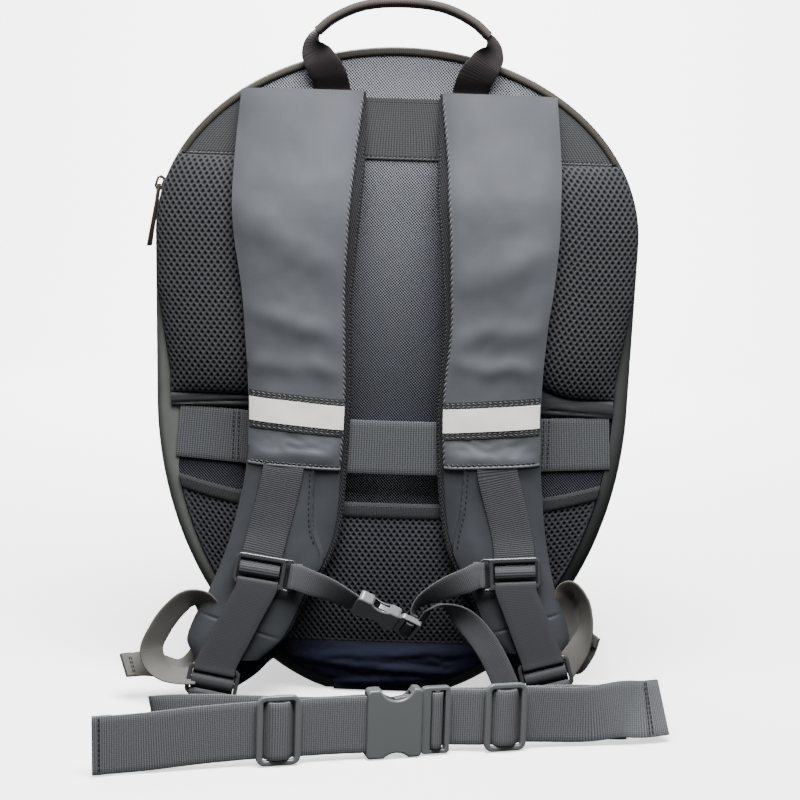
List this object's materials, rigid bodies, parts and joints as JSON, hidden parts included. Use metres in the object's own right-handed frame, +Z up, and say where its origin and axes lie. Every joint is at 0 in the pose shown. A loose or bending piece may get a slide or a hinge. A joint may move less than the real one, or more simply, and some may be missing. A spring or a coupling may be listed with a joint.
{
  "type": "led motorcycle backpack",
  "caption": "Egg-shaped hard-shell backpack with a plain screen window, padded mesh back, shoulder straps, sternum strap and waist belt.",
  "frame": {"origin": "middle of the width, on the floor, at the flat base of the moulded shell", "axes": "+Z up the back, -Y towards the wearer, +Y out through the moulded shell, +X to the right as seen from the harness side"},
  "size_m": [0.3778, 0.3655, 0.4907],
  "materials": {
    "shell": "satin textured",
    "screen": "gloss",
    "rubberised": "satin coated",
    "twill": "matte woven",
    "mesh": "matte open knit",
    "lining": "matte",
    "base": "matte woven",
    "webbing": "woven",
    "piping": "matte",
    "handle": "woven",
    "reflector": "reflective",
    "plastic": "satin",
    "puller": "satin"
  },
  "bodies": {
    "pack": {"adjuster_left": "plastic", "adjuster_right": "plastic", "anchor_tab_left": "base", "anchor_tab_right": "base", "back_panel": "twill", "base_skirt": "base", "belt_left": "webbing", "belt_plug": "plastic", "belt_right": "webbing", "belt_slider_left": "plastic", "belt_slider_right": "plastic", "belt_socket": "plastic", "gusset_hinge": "base", "handle_grip": "handle", "handle_leg_left": "handle", "handle_leg_right": "handle", "lower_buckle_left": "plastic", "lower_buckle_right": "plastic", "lower_strap_left": "webbing", "lower_strap_right": "webbing", "luggage_band": "webbing", "mesh_pad_left": "mesh", "mesh_pad_right": "mesh", "mesh_pocket": "mesh", "pad_hem_left": "rubberised", "pad_hem_right": "rubberised", "piping": "piping", "pocket_hem": "lining", "rear_gusset": "rubberised", "reflector_left": "reflector", "reflector_right": "reflector", "reflector_tape_left": "webbing", "reflector_tape_right": "webbing", "screen_window": "screen", "shell": "shell", "sternum_plug": "plastic", "sternum_socket": "plastic", "sternum_tail": "webbing", "sternum_webbing_left": "webbing", "sternum_webbing_right": "webbing", "strap_cover_left": "rubberised", "strap_cover_right": "rubberised", "strap_flap_left": "rubberised", "strap_flap_right": "rubberised", "strap_pad_left": "lining", "strap_pad_right": "lining", "strap_tail_left": "webbing", "strap_tail_right": "webbing", "strap_webbing_left": "webbing", "strap_webbing_right": "webbing", "top_band": "webbing", "zip": "webbing", "zip_slider": "puller"},
    "zip_pull": {"zip_puller": "puller"}
  },
  "joints": [
    {"name": "zip_pull_swing", "type": "hinge", "parent": "pack", "child": "zip_pull", "pos_m": [-0.17054, -0.0132, 0.35789], "axis": [0, 1, 0], "range_deg": [-5, 150]}
  ]
}
